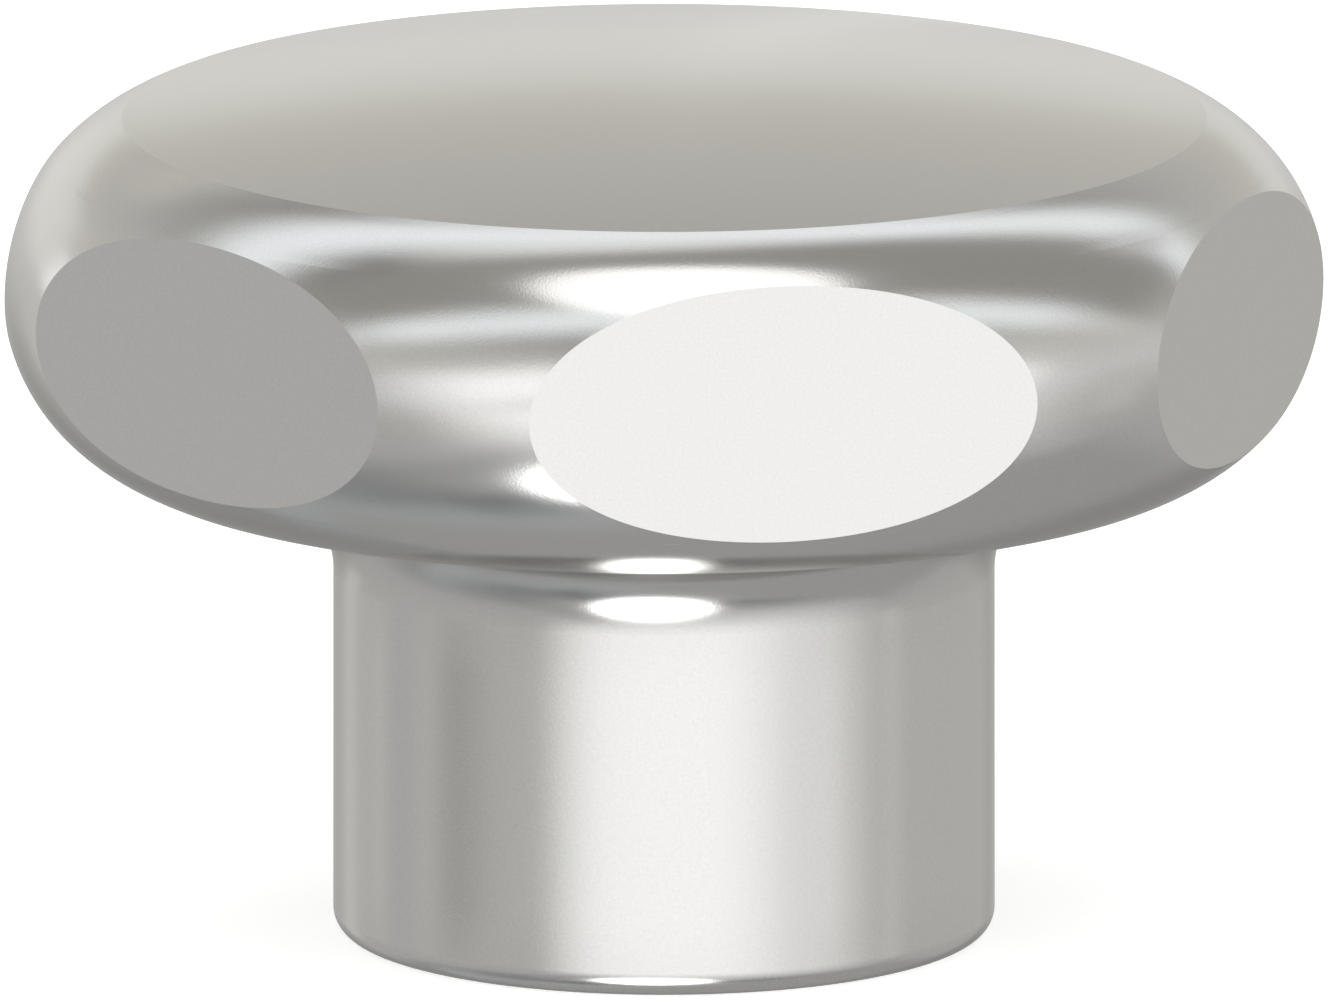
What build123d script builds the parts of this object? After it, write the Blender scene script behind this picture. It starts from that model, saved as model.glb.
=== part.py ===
from build123d import *
import os
from math import cos, radians, sin, tan

# Threaded knob, turned and milled from one bar of steel. Sizes are in millimetres. The origin is
# the middle of the hub's flat underside, +Z runs up the axis, and one flat of the rim faces -Y.

# Hub: the plain round boss that carries the thread
hub_diameter = 25.0
hub_edge_round = 1.0

# Head: a lens with a rounded rim, the same above and below the middle of the rim
head_diameter = 50.0
rim_middle_height = 24.8
rim_round = 7.1
rim_half_sweep = 68.5
dome_rise = 1.6
neck_round = 3.5

# Grip: upright flats milled round the rim
flat_count = 6
flat_depth = 2.0

# Blind tapped hole in the hub's underside, drilled and countersunk for an M10 coarse thread
thread_diameter = 10.0
thread_pitch = 1.5
drill_depth = 22.0
drill_point_angle = 118.0
countersink_margin = 0.3
countersink_angle = 90.0

# The rim is an arc that ends in a sharp circle above and below, where the shallow domes start.
hub_radius = hub_diameter / 2
head_radius = head_diameter / 2
dome_edge_radius = head_radius - rim_round + rim_round * cos(radians(rim_half_sweep))
dome_edge_offset = rim_round * sin(radians(rim_half_sweep))
upper_edge_height = rim_middle_height + dome_edge_offset
lower_edge_height = rim_middle_height - dome_edge_offset
overall_height = upper_edge_height + dome_rise

# Both domes are caps of one sphere radius. The lower one runs in to the hub's wall.
dome_radius = (dome_edge_radius**2 + dome_rise**2) / (2 * dome_rise)
dome_drop_at_hub = (dome_radius**2 - hub_radius**2) ** 0.5 - (dome_radius - dome_rise)
neck_height = lower_edge_height - dome_drop_at_hub

tap_drill_radius = (thread_diameter - thread_pitch) / 2
countersink_radius = thread_diameter / 2 + countersink_margin
drill_point_height = tap_drill_radius / tan(radians(drill_point_angle / 2))

with BuildPart() as knob:
    # Half section from the middle of the underside, out round the rim and back to the axis
    with BuildSketch(Plane.XZ) as section:
        with BuildLine():
            underside = Line((0, 0), (hub_radius, 0))
            hub_wall = Line(underside @ 1, (hub_radius, neck_height))
            lower_edge = (dome_edge_radius, lower_edge_height)
            lower_dome = RadiusArc(hub_wall @ 1, lower_edge, -dome_radius)
            rim_middle = (head_radius, rim_middle_height)
            upper_edge = (dome_edge_radius, upper_edge_height)
            rim = ThreePointArc(lower_dome @ 1, rim_middle, upper_edge)
            upper_dome = RadiusArc(rim @ 1, (0, overall_height), -dome_radius)
            Line(upper_dome @ 1, underside @ 0)
        make_face()
        fillet(section.vertices().sort_by_distance(hub_wall @ 1)[0], neck_round)
        fillet(section.vertices().sort_by_distance(underside @ 1)[0], hub_edge_round)
    revolve(axis=Axis.Z)

    # The flats are the sides of one upright prism, cut where the round rim stands proud of it.
    # The prism is twice as tall as the knob, so it stands well clear of the upper dome.
    with BuildSketch(Plane.XY):
        RegularPolygon(head_radius - flat_depth, flat_count, major_radius=False)
    extrude(amount=2 * overall_height, mode=Mode.INTERSECT)

    # The hole is drilled upwards, and the drill's point leaves a cone at its end.
    with Locations(-Plane.XY):
        CounterSinkHole(tap_drill_radius, countersink_radius, drill_depth, countersink_angle)
    with Locations((0, 0, drill_depth)):
        Cone(
            tap_drill_radius,
            0,
            drill_point_height,
            align=(Align.CENTER, Align.CENTER, Align.MIN),
            mode=Mode.SUBTRACT,
        )

knob.part.label = "knob"
os.makedirs("parts", exist_ok=True)
export_step(knob.part, "parts/knob.step")
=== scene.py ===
import math

import bmesh
import bpy
import numpy as np
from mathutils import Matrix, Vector


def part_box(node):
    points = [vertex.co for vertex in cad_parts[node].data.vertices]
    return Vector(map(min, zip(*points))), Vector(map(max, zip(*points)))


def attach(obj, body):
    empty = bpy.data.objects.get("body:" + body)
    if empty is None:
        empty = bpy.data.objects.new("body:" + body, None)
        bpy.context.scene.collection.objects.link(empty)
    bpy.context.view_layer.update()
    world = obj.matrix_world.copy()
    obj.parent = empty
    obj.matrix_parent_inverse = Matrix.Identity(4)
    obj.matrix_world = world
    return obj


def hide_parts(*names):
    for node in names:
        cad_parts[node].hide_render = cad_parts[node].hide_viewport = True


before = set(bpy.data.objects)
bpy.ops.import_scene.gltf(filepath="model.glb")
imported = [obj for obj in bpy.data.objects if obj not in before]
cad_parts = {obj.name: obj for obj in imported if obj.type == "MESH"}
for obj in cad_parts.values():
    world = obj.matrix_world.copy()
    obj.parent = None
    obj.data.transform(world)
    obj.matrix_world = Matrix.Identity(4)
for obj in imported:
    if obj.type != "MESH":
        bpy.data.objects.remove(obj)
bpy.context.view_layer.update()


# Camera
# A long product lens with all its rays parallel, set a little above the head.
# One flat of the rim looks past it, a few degrees to the viewer's right.

camera_azimuth = math.radians(-11.31)
camera_elevation = math.radians(12.141)
camera_distance = 0.5
picture_width = 0.050187
aim_height = 0.01648

to_camera = Vector((
    math.sin(camera_azimuth) * math.cos(camera_elevation),
    -math.cos(camera_azimuth) * math.cos(camera_elevation),
    math.sin(camera_elevation),
))
camera_data = bpy.data.cameras.new("product_camera")
camera_data.type = "ORTHO"
camera_data.ortho_scale = picture_width
camera_data.clip_start = 0.01
camera_data.clip_end = 10.0
camera = bpy.data.objects.new("product_camera", camera_data)
camera.location = Vector((0.0, 0.0, aim_height)) + to_camera * camera_distance
camera.rotation_euler = (math.pi / 2 - camera_elevation, 0.0, camera_azimuth)
bpy.context.scene.collection.objects.link(camera)
bpy.context.scene.camera = camera


# Studio room
# A studio, drawn as the steel mirrors it: pale walls, darker floor and ceiling, a broad window behind the
# camera, strip lights and a round lamp overhead, lamps and soft screens at the sides, and a strong round
# lamp low in front. Only the camera sees plain white instead. A level of 1 is as bright as white paper.

white = (1.0, 1.0, 1.0)
cream = (1.0, 0.997, 0.96)
warm = (1.0, 0.978, 0.91)
cool = (1.0, 1.035, 1.065)


def tinted(level, tint):
    """A colour that is level times as bright as its tint."""
    return tuple(level * part for part in tint)


# These levels were fitted to the photograph by a separate program, and then rounded.
wall_colour = {
    -90: tinted(0.80, cool),
    -60: tinted(0.17, cool),
    -35: tinted(0.54, white),
    -15: tinted(0.59, cream),
    0: tinted(0.82, white),
    15: tinted(0.74, warm),
    30: tinted(0.61, cream),
    45: tinted(0.37, warm),
    62: tinted(0.22, warm),
    76: tinted(1.80, white),
    90: tinted(1.80, white),
}


def new_socket(group, name, direction, kind):
    """Adds one named input or output to a node group."""
    return group.interface.new_socket(name=name, in_out=direction, socket_type=kind)


def wire(tree, kind, inputs=(), **settings):
    """Adds a node, sets its properties, and fills its inputs with values or with other nodes' outputs."""
    node = tree.nodes.new(kind)
    for name, value in settings.items():
        setattr(node, name, value)
    for key, value in dict(inputs).items():
        if isinstance(value, bpy.types.NodeSocket):
            tree.links.new(value, node.inputs[key])
        else:
            node.inputs[key].default_value = value
    return node


def maths(tree, operation, first, second=0.0):
    """One Math node's result."""
    return wire(tree, "ShaderNodeMath", {0: first, 1: second}, operation=operation).outputs[0]


def along(tree, first, second):
    """The dot product of two vectors."""
    node = wire(tree, "ShaderNodeVectorMath", {0: first, 1: second}, operation="DOT_PRODUCT")
    return node.outputs["Value"]


def fade(tree, value, full, gone):
    """A smoothed step from 1 where value is full to 0 where it is gone."""
    node = wire(tree, "ShaderNodeMapRange", {
        "Value": value, "From Min": full, "From Max": gone, "To Min": 1.0, "To Max": 0.0,
    }, interpolation_type="SMOOTHSTEP")
    return node.outputs[0]


def mixed(tree, share, first, second, **settings):
    """A Mix node's colour: first where share is 0 and second where it is 1. Its inputs 6 and 7 are those
    colours, and its output 2 is the result."""
    inputs = {0: share, 6: first, 7: second}
    return wire(tree, "ShaderNodeMix", inputs, data_type="RGBA", **settings).outputs[2]


# A ray that looks sideways from a panel, or away from it, counts as facing it by this much.
least_facing = 0.001


def panel_group():
    """Mask of one four-sided panel of the room. The ray is measured along the panel's side, up and facing
    axes: the size of side over facing, and the size of up, each fade by a smoothed step from where the
    panel is full to where it is gone, and the two are multiplied."""
    group = bpy.data.node_groups.new("room panel", "ShaderNodeTree")
    for name in ("Ray", "Side", "Up", "Facing"):
        new_socket(group, name, "INPUT", "NodeSocketVector")
    for name in ("Full Width", "Gone Width", "Full Height", "Gone Height"):
        new_socket(group, name, "INPUT", "NodeSocketFloat")
    new_socket(group, "Mask", "OUTPUT", "NodeSocketFloat")
    inlet = group.nodes.new("NodeGroupInput").outputs
    ray_along = {name: along(group, inlet["Ray"], inlet[name]) for name in ("Side", "Up", "Facing")}
    ahead = maths(group, "MAXIMUM", ray_along["Facing"], least_facing)
    width = maths(group, "DIVIDE", maths(group, "ABSOLUTE", ray_along["Side"]), ahead)
    height = maths(group, "ABSOLUTE", ray_along["Up"])
    across = fade(group, width, inlet["Full Width"], inlet["Gone Width"])
    upright = fade(group, height, inlet["Full Height"], inlet["Gone Height"])
    outlet = group.nodes.new("NodeGroupOutput")
    group.links.new(maths(group, "MULTIPLY", across, upright), outlet.inputs["Mask"])
    return group


panel_mask = panel_group()
world = bpy.data.worlds.new("studio room")
bpy.context.scene.world = world
world.use_nodes = True
# The lamps are broad, so chance rays find them. No map of where the light is has to be drawn, which saves
# half the time.
world.cycles.sampling_method = "NONE"
room = world.node_tree
room.nodes.clear()
ray = wire(room, "ShaderNodeTexCoord").outputs["Generated"]


def room_walls():
    """Colour of the bare room by how high the ray looks, as a ramp over the arcsine of its z."""
    height = wire(room, "ShaderNodeSeparateXYZ", {"Vector": ray}).outputs["Z"]
    look = maths(room, "DIVIDE", maths(room, "ARCSINE", height), math.pi)
    ramp = wire(room, "ShaderNodeValToRGB", {"Fac": maths(room, "ADD", look, 0.5)})
    stops = ramp.color_ramp.elements
    while len(stops) < len(wall_colour):
        stops.new(0.5)
    for stop, (elevation, colour) in zip(stops, sorted(wall_colour.items())):
        stop.position = elevation / 180.0 + 0.5
        stop.color = (*colour, 1.0)
    return ramp.outputs["Color"]


def lamp_axes(azimuth, elevation, roll):
    """Side, up and facing axes of a lamp or panel. The azimuth is counted from the camera, to the viewer's
    right, and the roll turns it about the way that it faces. Angles are in degrees."""
    turn = math.radians(azimuth) + camera_azimuth
    lift = math.radians(elevation)
    tilt = math.radians(roll)
    facing = Vector((math.sin(turn) * math.cos(lift), -math.cos(turn) * math.cos(lift), math.sin(lift)))
    level_side = Vector((math.cos(turn), math.sin(turn), 0.0))
    level_up = facing.cross(level_side)
    side = level_side * math.cos(tilt) - level_up * math.sin(tilt)
    up = level_side * math.sin(tilt) + level_up * math.cos(tilt)
    return side, up, facing


def over(behind, name, mask, colour):
    """Lays one lamp's or panel's colour over what is behind it."""
    return mixed(room, mask, behind, (*colour, 1.0), label=name)


def panel(behind, name, place, roll, width, height, colour):
    """A four-sided lamp, screen, or patch of wall or floor at an azimuth and elevation. Width and height
    are each the pair of angles from its middle where it is full and where it is gone."""
    side, up, facing = lamp_axes(*place, roll)
    mask = wire(room, "ShaderNodeGroup", node_tree=panel_mask, inputs={
        "Ray": ray, "Side": side, "Up": up, "Facing": facing,
        "Full Width": math.tan(math.radians(width[0])), "Gone Width": math.tan(math.radians(width[1])),
        "Full Height": math.sin(math.radians(height[0])), "Gone Height": math.sin(math.radians(height[1]))})
    return over(behind, name, mask.outputs["Mask"], colour)


def round_lamp(behind, name, place, full, gone, colour):
    """A round lamp: the cosine of the angle from its middle fades from where it is full to where it is
    gone."""
    facing = lamp_axes(*place, 0.0)[2]
    mask = fade(room, along(room, ray, facing), math.cos(math.radians(full)), math.cos(math.radians(gone)))
    return over(behind, name, mask, colour)


# Most of these were fitted to the photograph by a separate program, and then rounded. Given one by one, not
# fitted, are "pale wall, left", "pale wall, upper left", both pale screens, "grey screen, left" and "grey
# flag, right".
seen = room_walls()
seen = panel(seen, "pale far wall", (187, 9), -6, (27, 40), (3, 8), tinted(0.93, cream))
seen = panel(seen, "pale wall, left", (-157, 7), 0, (8, 19), (3, 11), tinted(1.01, cream))
seen = panel(seen, "pale wall, upper left", (-158, 30), 0, (4, 16), (0, 9), tinted(0.74, warm))
seen = panel(seen, "pale screen, far left", (-143, -12), 0, (2, 10), (5, 12), tinted(0.74, white))
seen = panel(seen, "grey screen, left", (-105, -12), 0, (2, 13), (5, 12), tinted(0.58, white))
seen = panel(seen, "pale screen, right", (87, -12), 0, (1, 8), (5, 12), tinted(0.72, cream))
seen = panel(seen, "pale floor in front", (20.5, -12), 2, (3, 62.5), (0, 50), tinted(1.15, white))
seen = panel(seen, "window", (-0.5, -2.5), -1, (14, 47.5), (0, 33.5), tinted(1.55, white))
seen = panel(seen, "black screen, left", (-67, 1), -5, (10, 25), (4, 15), tinted(0.03, white))
seen = panel(seen, "grey floor, left", (-121, -64), 71, (15, 20), (0, 36), tinted(0.50, cool))
seen = panel(seen, "side lamp, far left", (-128, 0), -65, (4, 8), (0, 19), tinted(1.61, white))
seen = panel(seen, "dark ceiling, right", (71, 77), -40, (19, 32), (50, 88), tinted(0.40, warm))
seen = panel(seen, "grey floor, right", (126, -71), 0, (33, 36), (23, 40), tinted(0.45, white))
seen = panel(seen, "pale wall, front left", (-33, 6), -10, (5, 43), (4, 16), tinted(0.99, white))
seen = panel(seen, "side lamp, left", (-25, 11), -27, (5, 25), (2, 15), tinted(1.52, white))
seen = panel(seen, "side lamp, right", (47, 8), 27, (10, 27), (5, 14), tinted(1.67, white))
seen = panel(seen, "dark floor behind", (177, -33), 0, (14, 34), (7, 29), tinted(0.35, white))
seen = panel(seen, "dim floor, front left", (-41, -46), -46, (0, 28), (4, 10), tinted(0.44, white))
seen = panel(seen, "strip light, back", (205, 59.5), 100, (2, 16), (73.5, 76.5), tinted(1.29, cool))
seen = panel(seen, "strip light, front", (16, 57), 95, (0.5, 17), (46.5, 88), tinted(1.24, cool))
seen = panel(seen, "grey flag, right", (124, 37), 0, (0, 10), (0, 9), tinted(0.75, white))
seen = round_lamp(seen, "ceiling lamp", (11, 74), 17, 20, tinted(1.79, white))
seen = round_lamp(seen, "low lamp", (-5, -49), 0, 20, tinted(7.03, white))

camera_ray = wire(room, "ShaderNodeLightPath").outputs["Is Camera Ray"]
lit_room = wire(room, "ShaderNodeBackground", {"Color": seen})
plain_white = wire(room, "ShaderNodeBackground", {"Color": (*white, 1.0)})
shown = wire(room, "ShaderNodeMixShader", {0: camera_ray, 1: lit_room.outputs[0], 2: plain_white.outputs[0]})
world_output = room.nodes.new("ShaderNodeOutputWorld")
room.links.new(shown.outputs[0], world_output.inputs["Surface"])


# Floor
# A sheet of white paper on a table. It glows a little to the camera, so that it stays white, and keeps
# the knob's soft shadow. From below it is clear, so that the knob's underside can be looked at. The steel
# mirrors the room's own floor and low lamp in its place.

paper_half_width = 1.0
paper_colour = (0.9, 0.9, 0.9, 1.0)
paper_glow = 0.5


def paper():
    """White paper: diffuse, with a glow that only camera rays see, and clear from its back."""
    material = bpy.data.materials.new("white paper")
    material.use_nodes = True
    tree = material.node_tree
    tree.nodes.clear()
    straight = wire(tree, "ShaderNodeLightPath").outputs["Is Camera Ray"]
    matt = wire(tree, "ShaderNodeBsdfDiffuse", {"Color": paper_colour})
    glow = wire(tree, "ShaderNodeEmission", {"Strength": maths(tree, "MULTIPLY", straight, paper_glow)})
    sheet = wire(tree, "ShaderNodeAddShader", {0: matt.outputs[0], 1: glow.outputs[0]})
    clear = wire(tree, "ShaderNodeBsdfTransparent")
    back = wire(tree, "ShaderNodeNewGeometry").outputs["Backfacing"]
    either = wire(tree, "ShaderNodeMixShader", {0: back, 1: sheet.outputs[0], 2: clear.outputs[0]})
    output = tree.nodes.new("ShaderNodeOutputMaterial")
    tree.links.new(either.outputs[0], output.inputs["Surface"])
    return material


floor_corners = [
    (-paper_half_width, -paper_half_width, 0.0),
    (paper_half_width, -paper_half_width, 0.0),
    (paper_half_width, paper_half_width, 0.0),
    (-paper_half_width, paper_half_width, 0.0),
]
floor_mesh = bpy.data.meshes.new("paper")
floor_mesh.from_pydata(floor_corners, [], [(0, 1, 2, 3)])
floor_mesh.materials.append(paper())
floor = bpy.data.objects.new("paper", floor_mesh)
floor.visible_glossy = False
bpy.context.scene.collection.objects.link(floor)


# Knob
# One piece of stainless steel, turned from bar: a hub, a rounded neck and a domed head with a round rim.
# Six flats are milled upright into the rim, and the whole is blasted and polished to a fine satin.

high_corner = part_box("knob")[1]
head_radius = high_corner.x
flat_distance = high_corner.y
overall_height = high_corner.z
hub_radius = 0.0125
hub_edge_round = 0.001
neck_round = 0.0035
rim_round = 0.0071
rim_half_sweep = math.radians(68.5)
dome_rise = 0.0016
mouth_radius = 0.0053
flat_count = 6

rim_centre_radius = head_radius - rim_round
crease_radius = rim_centre_radius + rim_round * math.cos(rim_half_sweep)
crease_offset = rim_round * math.sin(rim_half_sweep)
rim_middle_height = overall_height - dome_rise - crease_offset
dome_radius = (crease_radius ** 2 + dome_rise ** 2) / (2 * dome_rise)
underside_height = rim_middle_height - crease_offset - dome_rise
underside_centre = underside_height + dome_radius

hub_bottom_rows = 4
hub_edge_rows = 18
hub_rows = 6
neck_rows = 18
underside_rows = 8
rim_end_rows = 8
rim_flat_rows = 64
dome_rows = 24
half_sector_columns = 16
flat_columns = 24
rounding_slack = 1e-9


def arc(radius, height, size, start, end, rows):
    """Points on a circle in the half section: centre plus size times the cosine and sine of an angle that
    runs from start to end, without the first point."""
    angle = np.linspace(start, end, rows + 1)[1:]
    return np.stack([radius + size * np.cos(angle), height + size * np.sin(angle)], axis=1)


def run(first, last, rows):
    """Points on a straight line in the half section, without the first point."""
    return np.linspace(first, last, rows + 1)[1:]


def rim_rows():
    """Rows round the rim's arc. Between the flats' ends the angle goes as a sine, so that the rows crowd
    where a flat's outline turns over."""
    flat_half_sweep = math.acos((flat_distance - rim_centre_radius) / rim_round)
    plain = np.linspace(flat_half_sweep, rim_half_sweep, rim_end_rows + 1)[1:]
    across = flat_half_sweep * np.sin(np.linspace(-math.pi / 2, math.pi / 2, rim_flat_rows + 1))
    angle = np.concatenate([-plain[::-1], across, plain])
    return np.stack([rim_centre_radius + rim_round * np.cos(angle),
                     rim_middle_height + rim_round * np.sin(angle)], axis=1)


def half_section():
    """The turned outline as rows of radius and height, from the mouth of the hole out over the hub's edge,
    up the hub and neck, round the head and in to the top of the dome."""
    neck_centre_radius = hub_radius + neck_round
    neck_reach = dome_radius + neck_round
    neck_centre_height = underside_centre - math.sqrt(neck_reach ** 2 - neck_centre_radius ** 2)
    neck_end = math.atan2(underside_centre - neck_centre_height, -neck_centre_radius)
    neck_end_radius = neck_centre_radius * dome_radius / neck_reach
    under = np.linspace(neck_end_radius, crease_radius, underside_rows + 1)[1:]
    dome = np.linspace(crease_radius, 0.0, dome_rows + 1)[1:]
    return np.concatenate([
        [[mouth_radius, 0.0]],
        run((mouth_radius, 0.0), (hub_radius - hub_edge_round, 0.0), hub_bottom_rows),
        arc(hub_radius - hub_edge_round, hub_edge_round, hub_edge_round, -math.pi / 2, 0.0, hub_edge_rows),
        run((hub_radius, hub_edge_round), (hub_radius, neck_centre_height), hub_rows),
        arc(neck_centre_radius, neck_centre_height, neck_round, math.pi, neck_end, neck_rows),
        np.stack([under, underside_centre - np.sqrt(dome_radius ** 2 - under ** 2)], axis=1),
        rim_rows()[1:],
        np.stack([dome, overall_height - dome_radius + np.sqrt(dome_radius ** 2 - dome ** 2)], axis=1),
    ])


def flat_half_angle(radius):
    """Half the angle that a flat takes out of a circle of this radius: the arccosine of the flat's
    distance over the radius, and nothing where the circle lies inside the flat."""
    angle = np.arccos(np.minimum(1.0, flat_distance / radius))
    return np.where(radius > flat_distance + rounding_slack, angle, 0.0)


def grid_faces(start, grids, rows, columns):
    """Four-cornered faces between neighbours of each grid of points."""
    index = start + np.arange(grids * rows * columns).reshape(grids, rows, columns)
    corners = [index[:, :-1, :-1], index[:, 1:, :-1], index[:, 1:, 1:], index[:, :-1, 1:]]
    return np.stack(corners, axis=-1).reshape(-1, 4)


def flat_middles():
    """Azimuths of the flats' middles, the first towards minus Y."""
    return np.arange(flat_count) * 2 * math.pi / flat_count - math.pi / 2


def turned_surface():
    """The turned faces in twelve half sectors. Each row's azimuth runs from the flat's edge, or from the
    flat's middle where there is none, to the middle of the corner between two flats."""
    section = half_section()
    radius, height = section[:, 0], section[:, 1]
    edge = flat_half_angle(radius)[:, None]
    share = np.linspace(0.0, 1.0, half_sector_columns + 1)[None, :]
    azimuth = edge + (math.pi / flat_count - edge) * share
    middle = flat_middles()[:, None, None, None]
    side = np.array([-1.0, 1.0])[None, :, None, None]
    angle = middle + side * azimuth[None, None]
    x = radius[:, None] * np.cos(angle)
    y = radius[:, None] * np.sin(angle)
    points = np.stack([x, y, np.broadcast_to(height[:, None], x.shape)], axis=-1)
    return points.reshape(-1, *points.shape[2:])


def milled_surface():
    """The flats. A row's half width is the flat's distance times the tangent of its half angle, so each
    flat ends on the turned faces' edge."""
    rim = rim_rows()
    rim = rim[rim[:, 0] > flat_distance - rounding_slack]
    half_width = flat_distance * np.tan(flat_half_angle(rim[:, 0]))
    sideways = half_width[:, None] * np.linspace(-1.0, 1.0, flat_columns + 1)[None, :]
    middle = flat_middles()[:, None, None]
    x = flat_distance * np.cos(middle) - sideways * np.sin(middle)
    y = flat_distance * np.sin(middle) + sideways * np.cos(middle)
    return np.stack([x, y, np.broadcast_to(rim[:, 1][:, None], x.shape)], axis=-1)


# Threaded hole
# A blind M10 hole up the hub: drilled, countersunk and tapped, so that a stud or bolt screws in from below.
# The thread is cut right-handed and runs out below the drill's pointed end.

thread_pitch = 0.0015
thread_outer_radius = 0.005
thread_inner_radius = 0.00425
thread_end = 0.02095
thread_runout = 0.0012
drill_depth = 0.022
drill_point_angle = math.radians(118.0)
thread_flank_angle = math.radians(30.0)
flank_width = (thread_outer_radius - thread_inner_radius) * math.tan(thread_flank_angle)
valley_width = thread_pitch / 8
crest_width = thread_pitch - valley_width - 2 * flank_width
hole_columns = 2 * flat_count * half_sector_columns
rows_per_stretch = 2
drill_point_rows = 6
turn_count = math.ceil(drill_depth / thread_pitch) + 1


def threaded_surface():
    """The tapped wall. Height is the pitch times the turns cut so far plus the azimuth's share of a turn,
    held between the mouth and the drill's depth. The radius follows the thread's outline of crest, flank,
    valley and flank at that height, fades to the drilled hole at the runout, and is never inside the
    countersink's cone."""
    corner_share = np.cumsum([0.0, crest_width, flank_width, valley_width, flank_width]) / thread_pitch
    corner_radius = np.array([thread_inner_radius, thread_inner_radius, thread_outer_radius,
                              thread_outer_radius, thread_inner_radius])
    stretches = len(corner_share) - 1
    row = np.arange(stretches * rows_per_stretch) / rows_per_stretch
    row_share = np.interp(row, np.arange(stretches + 1), corner_share)
    turns = (np.arange(-1, turn_count)[:, None] + row_share[None, :]).ravel()[:, None]
    around = np.linspace(0.0, 1.0, hole_columns + 1)[None, :]
    height = np.clip(thread_pitch * (turns + around), 0.0, drill_depth)
    share = (height / thread_pitch - around) % 1.0
    depth = np.interp(share, corner_share, corner_radius) - thread_inner_radius
    kept = np.clip((thread_end - height) / thread_runout, 0.0, 1.0)
    radius = np.maximum(thread_inner_radius + depth * kept, mouth_radius - height)
    angle = np.broadcast_to(around * 2 * math.pi, radius.shape)
    return np.stack([radius * np.cos(angle), radius * np.sin(angle), height], axis=-1)[None]


def drill_point():
    """The cone that the drill leaves: radius falls evenly to nothing as height rises by the radius over
    the tangent of half the point's angle."""
    share = np.linspace(0.0, 1.0, drill_point_rows + 1)[:, None]
    angle = np.linspace(0.0, 2 * math.pi, hole_columns + 1)[None, :]
    radius = thread_inner_radius * (1.0 - share)
    height = drill_depth + thread_inner_radius / math.tan(drill_point_angle / 2) * share
    return np.stack([radius * np.cos(angle), radius * np.sin(angle),
                     np.broadcast_to(height, (radius * angle).shape)], axis=-1)[None]


# Steel
# The outside is blasted to a fine even grain and lightly polished, so it mirrors the room softly.
# The hole is left as the drill and the tap cut it, a little darker and rougher.

satin_colour = (0.62, 0.614, 0.602)
satin_roughness = 0.16
satin_speckle = 0.05
satin_cloud = 0.005
cut_colour = (0.56, 0.555, 0.55)
cut_roughness = 0.28
cut_speckle = 0.06
cut_cloud = 0.03
edge_tint = (0.9, 0.895, 0.875, 1.0)
grain_size = 0.0001
grain_depth = 0.0000015
cloud_size = 0.004
cloud_low = 0.3
cloud_high = 0.7


def steel_grain_group():
    """Fine grain of a blasted face, and a slow cloud over it, both from 0 to 1."""
    group = bpy.data.node_groups.new("steel grain", "ShaderNodeTree")
    new_socket(group, "Vector", "INPUT", "NodeSocketVector")
    new_socket(group, "Grain Size", "INPUT", "NodeSocketFloat")
    new_socket(group, "Cloud Size", "INPUT", "NodeSocketFloat")
    new_socket(group, "Grain", "OUTPUT", "NodeSocketFloat")
    new_socket(group, "Cloud", "OUTPUT", "NodeSocketFloat")
    inlet = group.nodes.new("NodeGroupInput").outputs
    fine = wire(group, "ShaderNodeTexNoise", {
        "Vector": inlet["Vector"], "Scale": maths(group, "DIVIDE", 1.0, inlet["Grain Size"]),
        "Detail": 1.0, "Roughness": 0.6})
    slow = wire(group, "ShaderNodeTexNoise", {
        "Vector": inlet["Vector"], "Scale": maths(group, "DIVIDE", 1.0, inlet["Cloud Size"]),
        "Detail": 3.0, "Roughness": 0.5})
    outlet = group.nodes.new("NodeGroupOutput")
    group.links.new(fine.outputs[0], outlet.inputs["Grain"])
    group.links.new(slow.outputs[0], outlet.inputs["Cloud"])
    return group


steel_grain = steel_grain_group()


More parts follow.
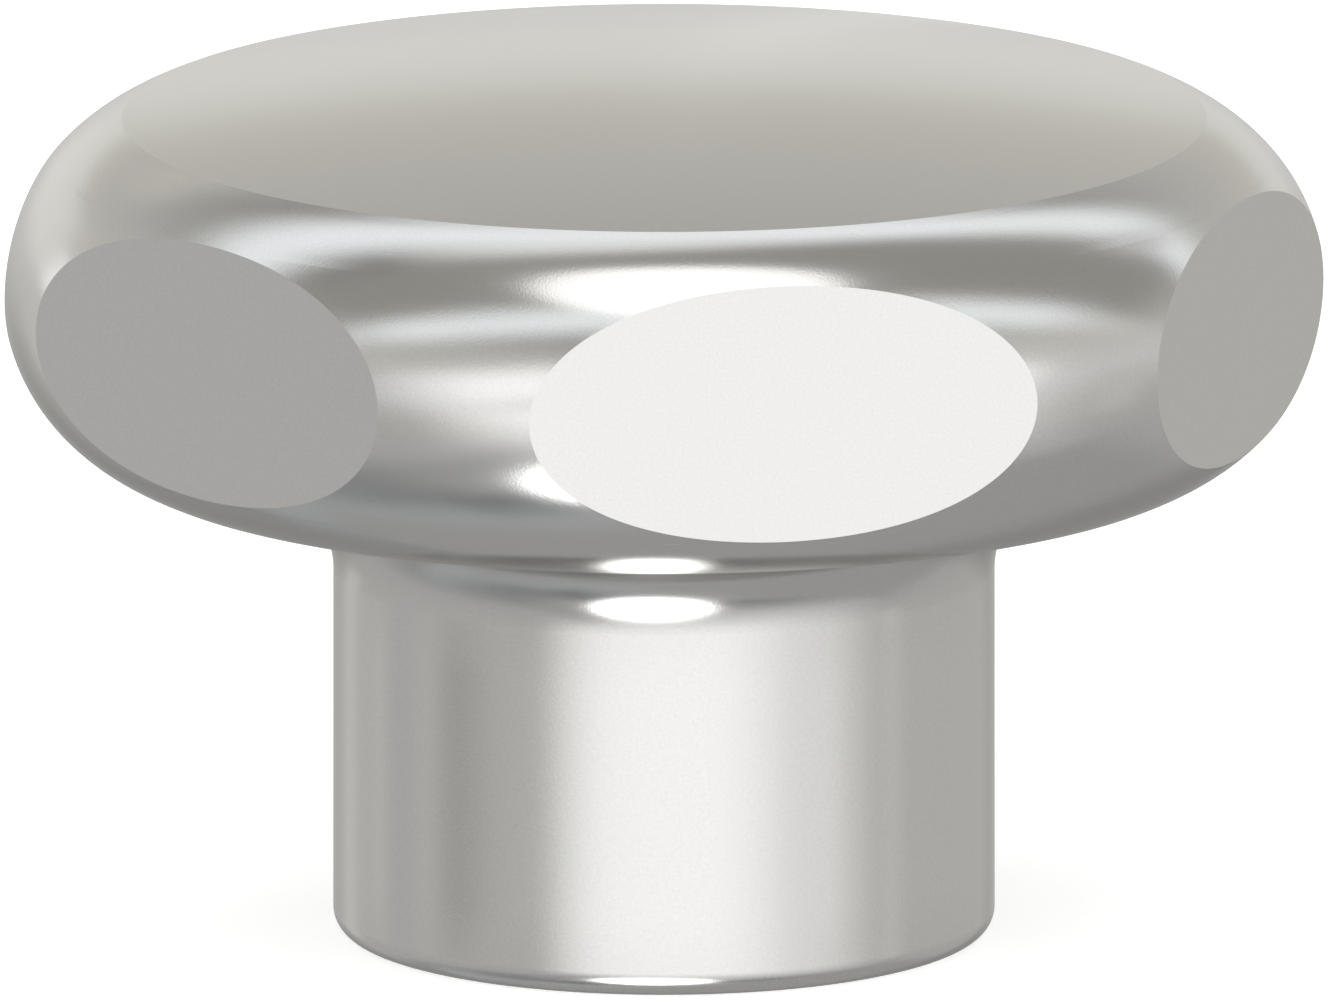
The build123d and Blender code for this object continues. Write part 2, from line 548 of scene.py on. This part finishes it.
def steel(name, colour, roughness, speckle, cloud):
    """Steel whose grain shades its colour by the share speckle and lifts its face by the grain's depth, and
    whose slow cloud changes its roughness by cloud."""
    material = bpy.data.materials.new(name)
    material.use_nodes = True
    tree = material.node_tree
    tree.nodes.clear()
    place = wire(tree, "ShaderNodeTexCoord").outputs["Object"]
    grain = wire(tree, "ShaderNodeGroup", node_tree=steel_grain, inputs={
        "Vector": place, "Grain Size": grain_size, "Cloud Size": cloud_size}).outputs
    darker = (*tinted(1.0 - speckle, colour), 1.0)
    lighter = (*tinted(1.0 + speckle, colour), 1.0)
    rough = wire(tree, "ShaderNodeMapRange", {
        "Value": grain["Cloud"], "From Min": cloud_low, "From Max": cloud_high,
        "To Min": roughness - cloud, "To Max": roughness + cloud})
    bump = wire(tree, "ShaderNodeBump", {
        "Height": grain["Grain"], "Distance": grain_depth, "Strength": 1.0})
    metal = wire(tree, "ShaderNodeBsdfPrincipled", {
        "Base Color": mixed(tree, grain["Grain"], darker, lighter), "Roughness": rough.outputs[0],
        "Normal": bump.outputs[0], "Metallic": 1.0, "Specular Tint": edge_tint})
    output = tree.nodes.new("ShaderNodeOutputMaterial")
    tree.links.new(metal.outputs[0], output.inputs["Surface"])
    return material


# Whole knob
# The turned and milled outside and the cut hole are one closed skin, because the real knob is one bar.
# The skin stands for the solid knob, and the outside's edges and the hole's rim stay crisp.

merge_distance = 1e-7
sharp_turn = math.radians(9.0)


def knob_piece():
    """Joins the turned, milled, threaded and drilled surfaces into one closed mesh. Points that meet are
    merged, faces are turned outwards, and edges where the surface turns sharply stay sharp."""
    surfaces = [turned_surface(), milled_surface(), threaded_surface(), drill_point()]
    satin_slot, cut_slot = 0, 1
    finish_of = [satin_slot, satin_slot, cut_slot, cut_slot]
    points, faces, finish, start = [], [], [], 0
    for surface, slot in zip(surfaces, finish_of):
        made = grid_faces(start, *surface.shape[:3])
        points.append(surface.reshape(-1, 3))
        faces.append(made)
        finish.append(np.full(len(made), slot, np.int32))
        start += len(points[-1])
    mesh = bpy.data.meshes.new("knob")
    mesh.from_pydata(np.concatenate(points).tolist(), [], np.concatenate(faces).tolist())
    mesh.materials.append(steel("satin steel", satin_colour, satin_roughness, satin_speckle, satin_cloud))
    mesh.materials.append(steel("cut steel", cut_colour, cut_roughness, cut_speckle, cut_cloud))
    mesh.polygons.foreach_set("material_index", np.concatenate(finish))
    shape = bmesh.new()
    shape.from_mesh(mesh)
    bmesh.ops.remove_doubles(shape, verts=shape.verts, dist=merge_distance)
    bmesh.ops.recalc_face_normals(shape, faces=shape.faces)
    shape.to_mesh(mesh)
    shape.free()
    mesh.shade_smooth()
    mesh.set_sharp_from_angle(angle=sharp_turn)
    piece = bpy.data.objects.new("threaded_knob", mesh)
    bpy.context.scene.collection.objects.link(piece)
    return piece


knob = knob_piece()
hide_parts("knob")
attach(knob, "root")


bpy.context.scene.view_settings.view_transform = "Standard"
